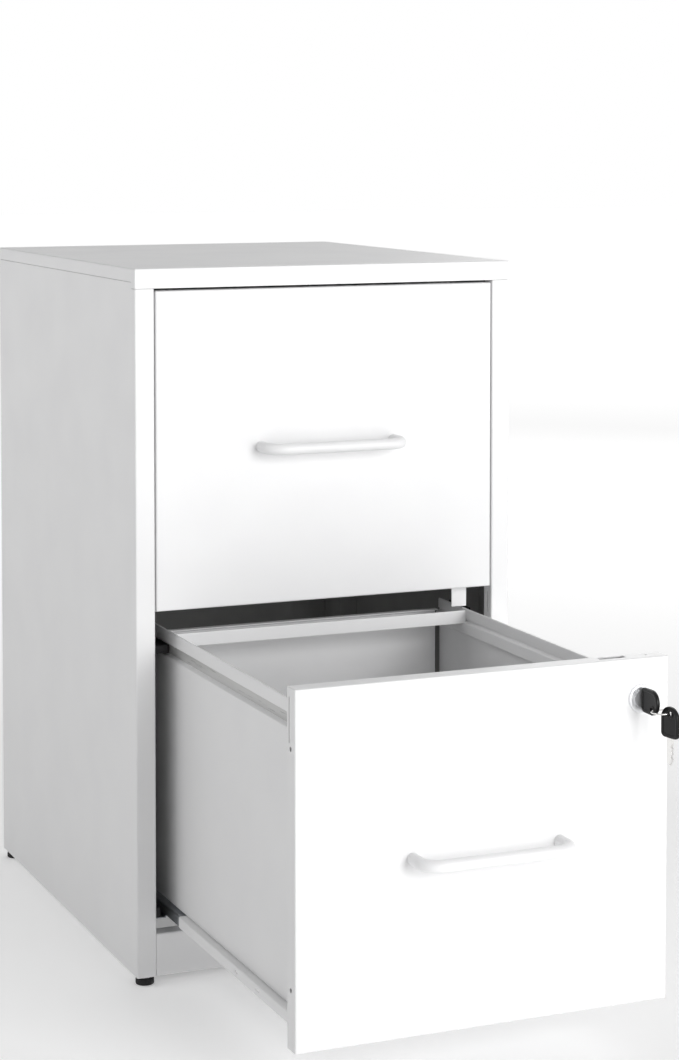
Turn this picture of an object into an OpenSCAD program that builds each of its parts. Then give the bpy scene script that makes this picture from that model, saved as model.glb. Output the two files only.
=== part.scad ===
// Two-drawer filing cabinet of folded steel sheet, stored with its lower drawer open.
// Millimetres. +X is right and +Y is back as seen from the front, +Z is up. The origin
// is on the floor, under the middle of the whole object with its lower drawer open.

/* [Cabinet body] */
// Width over the side panels
body_w = 362; // [340:1:420]
// Depth from the front flanges to the back
body_d = 440; // [430:1:600]
// Height from the floor to the top surface
body_h = 631; // [600:1:720]
// Thickness of all the sheet metal
sheet_t = 1; // [0.8:0.1:1.2]
// Gap between the floor and the lowest sheet edge
floor_gap = 8; // [6:1:20]
// Width of the flange that each side panel shows at the front
stile_w = 17.8; // [14:0.1:25]
// Depth of the return behind each front flange
stile_return = 15; // [8:1:18]
// Height of the top panel's front lip
lip_h = 17.5; // [14:0.5:25]
// Height of the top panel's lip along the sides
side_lip_h = 12; // [8:0.5:14]
// How far the deep front lip wraps round each corner
lip_wrap = 9.5; // [5:0.5:15]
// Height of the kick plate under the lower drawer
kick_h = 38; // [30:1:60]
// Gap above, between and below the drawer fronts
reveal = 2.2; // [1.5:0.1:4]

/* [Drawers] */
// Side gap between a drawer front and the cabinet flanges
side_reveal = 1.2; // [0.8:0.1:3]
// Thickness of the hollow drawer front
front_d = 17.2; // [14:0.1:18]
// How far the lower drawer stands open
lower_open = 322; // [0:1:340]
// Width over the drawer's side walls
box_w = 289.2; // [280:0.1:300]
// Length of the drawer's side walls
box_l = 374; // [340:1:380]
// Height of the drawer's side walls
box_h = 242.3; // [200:0.1:245]
// Height of the box above the bottom edge of its front
box_lift = 18.6; // [16:0.1:24]
// Distance from the front rail to the rear rail that folder hooks hang on
hook_span = 315; // [310:1:320]

/* [Handles] */
// Distance between the two legs
handle_pitch = 128; // [96:32:160]
// Diameter of the bar
handle_bar_d = 10; // [8:1:12]
// Reach from the drawer front to the bar's outer side
handle_reach = 32; // [25:1:40]
// Centre line radius of the two bends
handle_bend = 14; // [10:1:18]

/* [Runners] */
// Width over the drawer's own channel
runner_w = 14; // [13:0.5:16]
// Length of the drawer's own channel
runner_l = 280; // [240:5:300]
// Length of the middle channel
middle_l = 300; // [260:5:320]
// Length of the cabinet's channel
rail_l = 334; // [300:1:350]
// Running clearance between one channel and the next
runner_gap = 0.3; // [0.2:0.05:0.5]

/* [Lock and keys] */
// Distance of the lock from the cabinet's centre line
lock_x = 137; // [120:1:140]
// Height of the lock above the bottom edge of the drawer front
lock_rise = 247.8; // [240:0.1:255]
// Diameter of the lock's collar
collar_d = 23; // [18:1:24]
// Diameter of the turning plug
plug_d = 14.4; // [10:0.2:14.6]
// Height of a key's grip
grip_h = 20; // [16:1:24]
// Length of a key's grip
grip_l = 25; // [24:1:30]
// Length of a key's blade
blade_l = 22; // [18:1:24]
// Mean diameter of the key ring
ring_d = 16; // [14:1:20]

/* [Levelling feet] */
// Diameter of the pad
pad_d = 16.6; // [14:0.2:18]
// Height of the pad
pad_h = 5.5; // [4:0.5:6]
// Distance of each foot's centre from the side and the front or back
foot_inset = 10; // [9:0.5:12]

/* [Hidden] */
$fn = 48;

// Colours
enamel = [0.93, 0.93, 0.93];
bare_steel = [0.62, 0.63, 0.65];
bright_steel = [0.82, 0.83, 0.84];
black_plastic = [0.08, 0.08, 0.08];

// A cut passes this far beyond the material that it opens
over = 0.5;

// Body, measured from the front plane, the floor and the centre line
key_reach = 43.2;
front_y = (max(handle_reach, key_reach) + lower_open - body_d) / 2;
side_x = body_w / 2;
top_z = body_h;
lip_z = top_z - lip_h;
seam_z = top_z - side_lip_h;
seam = 0.3;
kick_z = floor_gap + kick_h;
return_x = side_x - stile_w;
back_flange = 15;
tongue_h = 10;

// Drawer fronts
front_h = (lip_z - kick_z - 3 * reveal) / 2;
front_x = return_x - side_reveal;
front_z = kick_z + reveal;
pitch = front_h + reveal;
front_return = 14;

// Drawer box
box_x = box_w / 2;
box_z = front_z + box_lift;
rim_z = box_z + box_h;
inner_y = front_d + sheet_t;
rim_band = 11.3;
groove_h = 12;
groove_deep = 4.5;
groove_slope = 2;
hem_w = 2.2;
hem_h = 9;
back_wall_drop = 9;
hook_rail_h = 12;
hook_rail_t = 2;
hook_rail_drop = 1.3;

// Runners: three inverted channels, one inside the other
runner_out = 0.6;
runner_x = box_x - runner_out;
runner_h = 9.5;
nest = sheet_t + runner_gap;
middle_w = runner_w - 2 * nest;
rail_w = middle_w - 2 * nest;
middle_z = box_z - nest;
rail_z = middle_z - nest;
rail_h = 10.4;
middle_h = 8.7;
rail_y = 19;
middle_y = 25;
upright_out = 18.5;
upright_x = side_x - sheet_t - upright_out;

// Uprights and rails across the body
upright_y = 60;
rear_upright_y = 352;
upright_w = 25;
upright_top = seam_z - 12;
cross_h = 8;
cross_d = 20;
cross_y = 19;
cross_z = front_z + pitch - 3.4;
rear_rail_h = 40;
rear_rail_d = 20;

// Handles
bar_r = handle_bar_d / 2;
bar_y = -(handle_reach - bar_r);
handle_z = front_z + front_h / 2;
screw_r = 1.95;
screw_bore_r = 2;
screw_depth = 12;

// Lock
lock_z = front_z + lock_rise;
collar_t = 2;
barrel_r = 8.5;
plug_r = plug_d / 2;
plug_fit = 0.05;
plug_end = 18.5;
keyway_w = 2.6;
keyway_h = 7.2;
tail_w = 6;
cam_y = 21.6;
cam_t = 1.8;
cam_l = 25;
cam_w = 12;
strike_x = 132;
strike_w = 15;
strike_y = 19.5;
strike_drop = 17.3;

// Keys
grip_t = 3.2;
grip_gap = 0.4;
plug_proud = 0.2;
grip_y = -collar_t - plug_proud - grip_gap;
grip_corner = 4;
blade_t = 2;
blade_w = 6.5;
hole_r = 2.6;
hole_back = 16.6;
hole_drop = 6;
ring_r = ring_d / 2;
wire_r = 0.6;
// Where the ring's centre and the spare key's hole lie from the first key's hole
ring_dx = 3;
ring_dy = -7.4;
spare_dx = 7.7;
spare_dy = -13.9;
spare_turn = 10;
spare_hole_drop = 5.4;

// Feet
foot_x = side_x - foot_inset;
stud_r = 2.95;
nut_bore_r = 3;
nut_h = 5;
nut_w = 10;
stud_top = floor_gap + sheet_t + nut_h + 4;

function unit(v) = v / norm(v);
function left_of(v) = [-v[1], v[0]];
// The mitred inner corner of a strip that lies to the left of its path
function inner_corner(path, i, t) =
    let (
        last = len(path) - 1,
        into = unit(path[max(i, 1)] - path[max(i, 1) - 1]),
        out = unit(path[min(i, last - 1) + 1] - path[min(i, last - 1)]),
        a = left_of(into),
        b = left_of(out)
    )
    path[i] + t * (a + b) / (1 + a * b);

// Section of a folded sheet whose outer skin follows the path
module folded(path, t = sheet_t) {
    last = len(path) - 1;
    polygon(concat(path, [for (i = [last:-1:0]) inner_corner(path, i, t)]));
}

// Sections drawn in XZ and run along Y, or drawn in YZ and run along X
module run_y(y, length) {
    translate([0, y + length, 0]) rotate([90, 0, 0]) linear_extrude(length) children();
}
module run_x(x, length) {
    translate([x, 0, 0]) rotate([90, 0, 90]) linear_extrude(length) children();
}

module block(x, y, z, w, d, h) {
    translate([x, y, z]) cube([w, d, h]);
}
// A round bar along Y from its front end
module bar_y(x, y, z, length, r) {
    translate([x, y, z]) rotate([-90, 0, 0]) cylinder(h = length, r = r);
}
module mirrored(right) {
    if (right) mirror([1, 0, 0]) children();
    else children();
}
module in_body() {
    translate([0, front_y, 0]) children();
}
// Drawers are drawn closed in the lower bay
module in_drawer(upper) {
    translate([0, front_y - (upper ? 0 : lower_open), upper ? pitch : 0]) children();
}
module in_middle(upper) {
    translate([0, front_y - (upper ? 0 : lower_open / 2), upper ? pitch : 0]) children();
}

// ---- Cabinet body ----

module top_panel() {
    lip_return_x = return_x - seam;
    color(enamel) in_body() {
        block(-side_x, 0, top_z - sheet_t, body_w, body_d, sheet_t);
        block(-side_x, 0, lip_z, body_w, sheet_t, lip_h);
        block(-lip_return_x, 0, lip_z, 2 * lip_return_x, stile_return, sheet_t);
        block(-side_x, body_d - sheet_t, seam_z, body_w, sheet_t, side_lip_h);
        for (side = [-side_x, side_x - sheet_t]) {
            block(side, 0, seam_z, sheet_t, body_d, side_lip_h);
            block(side, 0, lip_z, sheet_t, lip_wrap, lip_h);
        }
    }
}

module side_panel(right) {
    slot_y = 7;
    slot_w = 1.6;
    slot_z = 305.5;
    slot_h = 19;
    color(enamel) in_body() mirrored(right) difference() {
        union() {
            translate([0, 0, floor_gap]) linear_extrude(seam_z - seam - floor_gap) folded([
                [-side_x + back_flange, body_d], [-side_x, body_d], [-side_x, 0],
                [-return_x, 0], [-return_x, stile_return]
            ]);
            block(-side_x + sheet_t, sheet_t, floor_gap, stile_w - sheet_t,
                body_d - 3 * sheet_t, sheet_t);
            block(-side_x + sheet_t, stile_return, seam_z - tongue_h, sheet_t,
                body_d - 2 * stile_return, tongue_h + side_lip_h - 2 * sheet_t);
        }
        block(-side_x - over, -over, lip_z - seam, stile_w + 2 * over, lip_wrap + over + seam, lip_h);
        block(-return_x - 2 * sheet_t, -over, lip_z - seam, 3 * sheet_t, stile_return + 2 * over, lip_h);
        for (y = [foot_inset, body_d - foot_inset])
            translate([-foot_x, y, floor_gap - over]) cylinder(h = 2 * over + sheet_t, r = nut_bore_r + 0.5);
        if (right)
            block(-return_x - 2 * sheet_t, slot_y, slot_z, 3 * sheet_t, slot_w, slot_h);
    }
}

module back_panel() {
    color(enamel) in_body()
        block(-side_x + sheet_t, body_d - 2 * sheet_t, floor_gap, body_w - 2 * sheet_t, sheet_t,
            top_z - sheet_t - floor_gap);
}

module kick_plate() {
    color(enamel) in_body() run_x(-return_x, 2 * return_x) folded([
        [stile_return, kick_z], [0, kick_z], [0, floor_gap], [stile_return, floor_gap]
    ]);
}

module rear_rail() {
    rail_back = body_d - 2 * sheet_t;
    color(enamel) in_body() run_x(-return_x, 2 * return_x) folded([
        [rail_back - rear_rail_d, floor_gap], [rail_back, floor_gap],
        [rail_back, floor_gap + rear_rail_h]
    ]);
}

module cross_rail() {
    rail_x = side_x - sheet_t;
    color(enamel) in_body() run_x(-rail_x, 2 * rail_x) folded([
        [cross_y + cross_d, cross_z + cross_h], [cross_y, cross_z + cross_h],
        [cross_y, cross_z], [cross_y + cross_d, cross_z]
    ]);
}

module lock_strike() {
    color(enamel) in_body() run_x(strike_x, strike_w) folded([
        [strike_y + strike_w, cross_z], [strike_y, cross_z], [strike_y, cross_z - strike_drop]
    ]);
}

module uprights(y) {
    base_z = floor_gap + sheet_t;
    color(enamel) in_body() for (right = [false, true])
        mirrored(right) translate([0, 0, base_z]) linear_extrude(upright_top - base_z) folded([
            [-side_x + sheet_t, y], [-upright_x, y], [-upright_x, y + upright_w],
            [-side_x + sheet_t, y + upright_w]
        ]);
}

// Blocks on the front uprights that run in the grooves of the drawer walls
module side_guides() {
    plate_t = 1.5;
    plate_y = 40;
    plate_l = 44;
    plate_h = 24;
    nose_y = 26.5;
    nose_l = 35;
    nose_h = 7;
    groove_z = rim_z - rim_band - groove_h / 2;
    nose_reach = box_x - groove_deep + 1.5;
    color(black_plastic) in_body() for (right = [false, true], z = [groove_z, groove_z + pitch])
        mirrored(right) {
            block(-upright_x, plate_y, z - plate_h / 2, plate_t, plate_l, plate_h);
            block(-upright_x, nose_y, z - nose_h / 2, upright_x - nose_reach, nose_l, nose_h);
        }
}

module rail_bumpers() {
    bumper_w = 7;
    bumper_l = 15;
    bumper_h = 9;
    shelf_z = rail_z - rail_h;
    color(black_plastic) in_body() for (right = [false, true], z = [shelf_z, shelf_z + pitch])
        mirrored(right)
            block(-upright_x + sheet_t + over, rail_y, z, bumper_w, bumper_l, bumper_h);
}

module foot_nuts() {
    color(bare_steel) in_body()
        for (x = [-foot_x, foot_x], y = [foot_inset, body_d - foot_inset])
            translate([x, y, floor_gap + sheet_t]) difference() {
                cylinder(h = nut_h, d = nut_w / cos(30), $fn = 6);
                translate([0, 0, -over]) cylinder(h = nut_h + 2 * over, r = nut_bore_r);
            }
}

module foot_pad(x, y) {
    edge = 1;
    color(black_plastic) in_body() translate([x, y, 0]) rotate_extrude() polygon([
        [0, 0], [pad_d / 2 - edge, 0], [pad_d / 2, edge], [pad_d / 2, pad_h - edge],
        [pad_d / 2 - edge, pad_h], [0, pad_h]
    ]);
}

module foot_stud(x, y) {
    hex_h = floor_gap - pad_h - 0.6;
    color(bright_steel) in_body() translate([x, y, pad_h]) {
        cylinder(h = hex_h, d = nut_w / cos(30), $fn = 6);
        cylinder(h = stud_top - pad_h, r = stud_r);
    }
}

// ---- Runners ----

// An inverted channel with its top at z and its legs h long
module channel(z, w, h, y, length) {
    run_y(y, length) folded([
        [-runner_x + w / 2, z - h], [-runner_x + w / 2, z], [-runner_x - w / 2, z],
        [-runner_x - w / 2, z - h]
    ]);
}

module cabinet_rail(upper, right) {
    shelf_z = rail_z - rail_h;
    flange_x = upright_x - sheet_t;
    flange_h = 20;
    color(bare_steel) in_body() mirrored(right) translate([0, 0, upper ? pitch : 0])
        run_y(rail_y, rail_l) folded([
            [-runner_x + rail_w / 2, shelf_z], [-runner_x + rail_w / 2, rail_z],
            [-runner_x - rail_w / 2, rail_z], [-runner_x - rail_w / 2, shelf_z],
            [-flange_x, shelf_z], [-flange_x, shelf_z + flange_h]
        ]);
}

module middle_channel(upper, right) {
    color(bare_steel) in_middle(upper) mirrored(right)
        channel(middle_z, middle_w, middle_h, middle_y, middle_l);
}

module drawer_runner(upper, right) {
    color(enamel) in_drawer(upper) mirrored(right)
        channel(box_z, runner_w, runner_h, inner_y, runner_l);
}

// ---- Drawers ----

module front_pan(upper) {
    edge_slot = [7.6, 43];
    edge_slot_y = 11;
    edge_slot_w = 1.5;
    edge_hole = 47.2;
    edge_hole_y = 9;
    edge_hole_r = 2;
    top_slot = [103, 24, 6.5, 7];
    top_hole_x = 146;
    top_hole_r = 1.5;
    top_edge = front_z + front_h;
    color(enamel) in_drawer(upper) difference() {
        block(-front_x, 0, front_z, 2 * front_x, front_d, front_h);
        block(-front_x + sheet_t, sheet_t, front_z + sheet_t, 2 * (front_x - sheet_t),
            front_d - 2 * sheet_t, front_h - 2 * sheet_t);
        block(-front_x + front_return, front_d - 2 * sheet_t, front_z + front_return,
            2 * (front_x - front_return), 3 * sheet_t, front_h - 2 * front_return);
        for (right = [false, true]) mirrored(right) {
            block(-front_x - over, edge_slot_y, top_edge - edge_slot[1], sheet_t + 2 * over,
                edge_slot_w, edge_slot[1] - edge_slot[0]);
            for (z = [front_z + edge_hole, top_edge - edge_hole])
                translate([-front_x - over, edge_hole_y, z]) rotate([0, 90, 0])
                    cylinder(h = sheet_t + 2 * over, r = edge_hole_r);
        }
        block(top_slot[0], top_slot[2], top_edge - sheet_t - over, top_slot[1], top_slot[3],
            sheet_t + 2 * over);
        translate([top_hole_x, edge_hole_y, top_edge - sheet_t - over])
            cylinder(h = sheet_t + 2 * over, r = top_hole_r);
        for (x = [-handle_pitch / 2, handle_pitch / 2])
            bar_y(x, -over, handle_z, sheet_t + 2 * over, screw_bore_r + 0.25);
        if (!upper)
            bar_y(lock_x, -over, lock_z, sheet_t + 2 * over, barrel_r + 0.2);
    }
}

module inner_front(upper) {
    plate_x = box_x + 5.4;
    plate_z = box_z - 7;
    plate_h = box_h + 16;
    color(enamel) in_drawer(upper) difference() {
        block(-plate_x, front_d, plate_z, 2 * plate_x, sheet_t, plate_h);
        if (!upper)
            bar_y(lock_x, front_d - over, lock_z, sheet_t + 2 * over, plug_r + 0.6);
    }
}

module wall(upper, right) {
    notch_l = 10;
    notch_w = 12;
    notch_z = lock_z - 14;
    low = rim_z - rim_band;
    color(enamel) in_drawer(upper) difference() {
        mirrored(right) run_y(inner_y, box_l) folded([
            [-box_x + hem_w, rim_z - hem_h], [-box_x + hem_w, rim_z], [-box_x, rim_z],
            [-box_x, low], [-box_x + groove_deep, low - groove_slope],
            [-box_x + groove_deep, low - groove_h + groove_slope], [-box_x, low - groove_h],
            [-box_x, box_z]
        ]);
        if (right && !upper)
            block(box_x - notch_w, inner_y - over, notch_z, notch_w + over, notch_l + over, box_h);
    }
}

module back_wall(upper) {
    flange = 8;
    back_y = inner_y + box_l;
    color(enamel) in_drawer(upper) run_x(-box_x + groove_deep + sheet_t + over,
            box_w - 2 * (groove_deep + sheet_t + over)) folded([
        [back_y, box_z + sheet_t], [back_y, rim_z - back_wall_drop],
        [back_y - flange, rim_z - back_wall_drop]
    ]);
}

module bottom(upper) {
    color(enamel) in_drawer(upper)
        block(-box_x + sheet_t, inner_y, box_z, box_w - 2 * sheet_t, box_l, sheet_t);
}

// Bars that the hooks of hanging folders rest on
module hook_rails(upper) {
    rail_top = rim_z - hook_rail_drop;
    rear_x = box_x - hem_w;
    front_x = 126;
    color(enamel) in_drawer(upper) {
        block(-front_x, inner_y, rail_top - hook_rail_h, 2 * front_x, hook_rail_t, hook_rail_h);
        block(-rear_x, front_d + hook_span, rail_top - hook_rail_h, 2 * rear_x, hook_rail_t,
            hook_rail_h);
    }
}

module handle(upper) {
    leg_x = handle_pitch / 2;
    bend_y = bar_y + handle_bend;
    color(enamel) in_drawer(upper) translate([0, 0, handle_z]) difference() {
        union() {
            translate([-leg_x + handle_bend, bar_y, 0]) rotate([0, 90, 0])
                cylinder(h = handle_pitch - 2 * handle_bend, r = bar_r);
            for (right = [false, true]) mirrored(right) {
                bar_y(-leg_x, bend_y, 0, -bend_y, bar_r);
                translate([-leg_x + handle_bend, bend_y, 0]) rotate([0, 0, 180])
                    rotate_extrude(angle = 90) translate([handle_bend, 0]) circle(r = bar_r);
            }
        }
        for (x = [-leg_x, leg_x])
            bar_y(x, -screw_depth, 0, screw_depth + over, screw_bore_r);
    }
}

module handle_screws(upper) {
    head_r = 4;
    head_h = 2.5;
    color(bright_steel) in_drawer(upper) for (x = [-handle_pitch / 2, handle_pitch / 2]) {
        bar_y(x, sheet_t, handle_z, head_h, head_r);
        bar_y(x, over - screw_depth, handle_z, screw_depth + sheet_t, screw_r);
    }
}

// ---- Lock and keys ----

module at_lock() {
    in_drawer(false) translate([lock_x, 0, lock_z]) children();
}

module lock_housing() {
    color(bright_steel) at_lock() difference() {
        union() {
            bar_y(0, -collar_t, 0, collar_t, collar_d / 2);
            bar_y(0, 0, 0, front_d, barrel_r);
        }
        bar_y(0, -collar_t - over, 0, front_d + collar_t + 2 * over, plug_r + plug_fit);
    }
}

module lock_plug() {
    face = -collar_t - plug_proud;
    color(bright_steel) at_lock() difference() {
        union() {
            bar_y(0, face, 0, plug_end - face, plug_r);
            block(-tail_w / 2, plug_end, -tail_w / 2, tail_w, cam_y + cam_t + 3 - plug_end, tail_w);
        }
        block(-keyway_w / 2, face - over, -keyway_h / 2, keyway_w, plug_end - face, keyway_h);
    }
}

// Points inward while the lock is open and turns up behind the strike
module lock_cam() {
    color(bare_steel) at_lock() difference() {
        translate([0, cam_y + cam_t, 0]) rotate([90, 0, 0]) linear_extrude(cam_t) union() {
            circle(d = cam_w);
            translate([-cam_l + cam_w / 2, 0]) circle(d = cam_w);
            translate([-cam_l + cam_w / 2, -cam_w / 2]) square([cam_l - cam_w / 2, cam_w]);
        }
        block(-tail_w / 2, cam_y - over, -tail_w / 2, tail_w, cam_t + 2 * over, tail_w);
    }
}

module lock_nut() {
    nut_t = 2.5;
    color(bare_steel) at_lock() difference() {
        translate([0, cam_y + cam_t, 0]) rotate([-90, 0, 0]) cylinder(h = nut_t, d = 11, $fn = 6);
        block(-tail_w / 2, cam_y, -tail_w / 2, tail_w, 2 * nut_t + cam_t, tail_w);
    }
}

// A grip drawn flat: its square end at the origin and its round end along +X
module grip_outline() {
    round_x = grip_l - grip_h / 2;
    difference() {
        union() {
            translate([round_x, 0]) circle(d = grip_h);
            translate([grip_corner, -grip_h / 2]) square([round_x - grip_corner, grip_h]);
            translate([0, -grip_h / 2 + grip_corner]) square([grip_corner, grip_h - 2 * grip_corner]);
            for (v = [-1, 1])
                translate([grip_corner, v * (grip_h / 2 - grip_corner)]) circle(r = grip_corner);
        }
        children();
    }
}

module key_grip() {
    color(black_plastic) at_lock() translate([-grip_t / 2, grip_y, 0]) rotate([90, 0, 90])
        linear_extrude(grip_t) mirror([1, 0]) grip_outline()
            translate([hole_back, -hole_drop]) circle(r = hole_r);
}

module key_blade() {
    tip_gap = 2.3;
    color(bright_steel) at_lock()
        block(-blade_t / 2, grip_y, -blade_w / 2, blade_t, plug_end - grip_y - tip_gap, blade_w);
}

module at_ring() {
    at_lock() translate([0, grip_y - hole_back, -hole_drop]) children();
}

module key_ring() {
    color(bright_steel) at_ring() translate([ring_dx, ring_dy, 0])
        rotate_extrude() translate([ring_r, 0]) circle(r = wire_r, $fn = 24);
}

// The spare key hangs from the ring with its round end up
module at_spare() {
    at_ring() translate([spare_dx, spare_dy, spare_hole_drop]) rotate([0, 0, spare_turn])
        rotate([90, 0, 90]) children();
}

module spare_key_grip() {
    color(black_plastic) at_spare() translate([0, 0, -grip_t / 2]) linear_extrude(grip_t)
        translate([0, -grip_l]) rotate(90) grip_outline()
            translate([grip_l - spare_hole_drop, 0]) circle(r = hole_r);
}

// Blade outline with its cuts worked out from the number of teeth
module spare_key_blade() {
    teeth = 4;
    tooth = 4.2;
    cut = 1.6;
    top = -grip_l;
    tip = top - blade_l;
    cuts = [for (i = [0:teeth - 1], side = [0, 1])
        [side ? -blade_w / 2 : -blade_w / 2 + cut * (0.6 + 0.4 * (i % 2)),
         tip + 3 + (i + 0.5 * side) * tooth]];
    color(bright_steel) at_spare() translate([0, 0, -blade_t / 2]) linear_extrude(blade_t)
        polygon(concat(
            [[blade_w / 2, top], [blade_w / 2, tip + 2], [0, tip]],
            cuts,
            [[-blade_w / 2, top]]
        ));
}

top_panel();
side_panel(false);  // side_panel_left
side_panel(true);  // side_panel_right
back_panel();
kick_plate();
rear_rail();
cross_rail();
lock_strike();
uprights(upright_y);  // front_uprights
uprights(rear_upright_y);  // rear_uprights
side_guides();
rail_bumpers();
foot_nuts();
foot_pad(-foot_x, foot_inset);  // foot_pad_front_left
foot_pad(foot_x, foot_inset);  // foot_pad_front_right
foot_pad(-foot_x, body_d - foot_inset);  // foot_pad_rear_left
foot_pad(foot_x, body_d - foot_inset);  // foot_pad_rear_right
foot_stud(-foot_x, foot_inset);  // foot_stud_front_left
foot_stud(foot_x, foot_inset);  // foot_stud_front_right
foot_stud(-foot_x, body_d - foot_inset);  // foot_stud_rear_left
foot_stud(foot_x, body_d - foot_inset);  // foot_stud_rear_right
cabinet_rail(true, false);  // upper_rail_left
cabinet_rail(true, true);  // upper_rail_right
cabinet_rail(false, false);  // lower_rail_left
cabinet_rail(false, true);  // lower_rail_right
middle_channel(true, false);  // upper_middle_left
middle_channel(true, true);  // upper_middle_right
middle_channel(false, false);  // lower_middle_left
middle_channel(false, true);  // lower_middle_right
front_pan(true);  // upper_front_pan
inner_front(true);  // upper_inner_front
wall(true, false);  // upper_wall_left
wall(true, true);  // upper_wall_right
back_wall(true);  // upper_back_wall
bottom(true);  // upper_bottom
hook_rails(true);  // upper_hook_rails
drawer_runner(true, false);  // upper_runner_left
drawer_runner(true, true);  // upper_runner_right
handle(true);  // upper_handle
handle_screws(true);  // upper_handle_screws
front_pan(false);  // lower_front_pan
inner_front(false);  // lower_inner_front
wall(false, false);  // lower_wall_left
wall(false, true);  // lower_wall_right
back_wall(false);  // lower_back_wall
bottom(false);  // lower_bottom
hook_rails(false);  // lower_hook_rails
drawer_runner(false, false);  // lower_runner_left
drawer_runner(false, true);  // lower_runner_right
handle(false);  // lower_handle
handle_screws(false);  // lower_handle_screws
lock_housing();
lock_plug();
lock_cam();
lock_nut();
key_grip();
key_blade();
key_ring();
spare_key_grip();
spare_key_blade();
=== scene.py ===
"""Looks of the two-drawer steel filing cabinet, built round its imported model. Everything is in metres."""

import bmesh
import bpy
import numpy as np
from mathutils import Matrix, Vector


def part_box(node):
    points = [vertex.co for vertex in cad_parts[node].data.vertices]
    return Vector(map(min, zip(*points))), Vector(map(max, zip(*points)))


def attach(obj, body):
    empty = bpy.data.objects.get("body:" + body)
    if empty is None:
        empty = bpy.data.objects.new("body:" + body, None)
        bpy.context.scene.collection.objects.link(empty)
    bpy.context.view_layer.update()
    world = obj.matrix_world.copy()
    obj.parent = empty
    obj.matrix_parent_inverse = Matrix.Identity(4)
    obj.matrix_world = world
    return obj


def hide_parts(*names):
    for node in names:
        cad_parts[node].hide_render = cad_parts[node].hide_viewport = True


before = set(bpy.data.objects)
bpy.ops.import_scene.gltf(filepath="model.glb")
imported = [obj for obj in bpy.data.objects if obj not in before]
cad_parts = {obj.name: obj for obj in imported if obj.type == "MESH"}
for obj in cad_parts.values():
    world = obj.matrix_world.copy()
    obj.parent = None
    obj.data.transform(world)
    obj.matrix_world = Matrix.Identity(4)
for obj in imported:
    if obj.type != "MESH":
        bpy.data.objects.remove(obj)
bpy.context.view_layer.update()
MM = 0.001

# ---------------------------------------------------------------- camera and light
# A long lens stands level with the top of the cabinet and looks a little down at its front
# left corner. Softboxes in front make the fronts white and leave the sides and top light grey.

camera_data = bpy.data.cameras.new("camera")
camera_data.sensor_width = 36
camera_data.lens = 85.01
camera_data.shift_y = -0.25
camera_data.clip_end = 50
camera = bpy.data.objects.new("camera", camera_data)
camera.location = (-0.8598, -2.0917, 0.7483)
camera.rotation_euler = np.radians((90 - 3.026, 0, -22.974))
bpy.context.scene.collection.objects.link(camera)
bpy.context.scene.camera = camera


def softbox(name, place, target, size, watts):
    """A square area light of the given side that faces its target."""
    lamp = bpy.data.lights.new(name, "AREA")
    lamp.shape = "SQUARE"
    lamp.size = size
    lamp.energy = watts
    box = bpy.data.objects.new(name, lamp)
    box.location = place
    box.rotation_euler = (Vector(target) - Vector(place)).to_track_quat("-Z", "Y").to_euler()
    bpy.context.scene.collection.objects.link(box)


softbox("front_softbox", (0.9, -3.5, 1.15), (0, 0, 0.35), 1.6, 84)
softbox("left_softbox", (-2.3, 0.3, 2.9), (0, 0.1, 0.4), 1.4, 17)
softbox("rear_softbox", (2.2, 2.4, 1.8), (0, 0, 0.3), 1.6, 22)

# The white room is dimmer as a light, and in reflections, than where it is seen itself.
ROOM_LIGHT = 0.27
ROOM_SHINE = 0.78
world = bpy.data.worlds.new("studio")
world.use_nodes = True
room = world.node_tree.nodes["Background"]
light_path = world.node_tree.nodes.new("ShaderNodeLightPath")
shine, strength = (world.node_tree.nodes.new("ShaderNodeMapRange") for _ in range(2))
shine.inputs["To Min"].default_value = ROOM_LIGHT
shine.inputs["To Max"].default_value = ROOM_SHINE
for ray, ramp in (("Is Glossy Ray", shine), ("Is Camera Ray", strength)):
    world.node_tree.links.new(light_path.outputs[ray], ramp.inputs["Value"])
world.node_tree.links.new(shine.outputs["Result"], strength.inputs["To Min"])
world.node_tree.links.new(strength.outputs["Result"], room.inputs["Strength"])
room.inputs["Color"].default_value = (1, 1, 1, 1)
bpy.context.scene.world = world
bpy.context.scene.view_settings.view_transform = "Standard"


# ---------------------------------------------------------------- materials
# Powder coat, zinc plate, nickel plate and moulded plastics: each starts from what the real
# finish is, and its pattern's scale comes from a size in millimetres. The two grey coats of
# the white powder coat are painted shade.


def linear(hex_colour):
    """sRGB hex to linear RGBA: the standard curve, a power of 2.4 with a straight toe."""
    srgb = np.array([int(hex_colour[i:i + 2], 16) for i in (1, 3, 5)]) / 255
    curve = np.where(srgb <= 0.04045, srgb / 12.92, ((srgb + 0.055) / 1.055) ** 2.4)
    return (*curve, 1)


def add(tree, kind, inputs=None, **settings):
    """Adds a node, sets its properties, and fills or links its inputs by name or number."""
    made = tree.nodes.new(kind)
    for key, value in settings.items():
        setattr(made, key, value)
    for key, value in (inputs or {}).items():
        if isinstance(value, bpy.types.NodeSocket):
            tree.links.new(value, made.inputs[key])
        else:
            made.inputs[key].default_value = value
    return made


def new_material(name, **shader):
    """A material with a Principled shader whose own sockets hold the given values."""
    made = bpy.data.materials.new(name)
    made.use_nodes = True
    tree = made.node_tree
    principled = tree.nodes["Principled BSDF"]
    for key, value in shader.items():
        principled.inputs[key.replace("_", " ")].default_value = value
    return made, tree, principled


def grain(tree, size_mm, stretch=(1, 1, 1), detail=2.0):
    """Noise on Object coordinates whose features are size_mm across, stretched along an axis."""
    place = add(tree, "ShaderNodeTexCoord").outputs["Object"]
    mapping = add(tree, "ShaderNodeMapping", {"Vector": place, "Scale": stretch})
    return add(tree, "ShaderNodeTexNoise", {
        "Vector": mapping.outputs["Vector"], "Scale": 1 / (size_mm * MM), "Detail": detail,
    }).outputs["Fac"]


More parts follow.
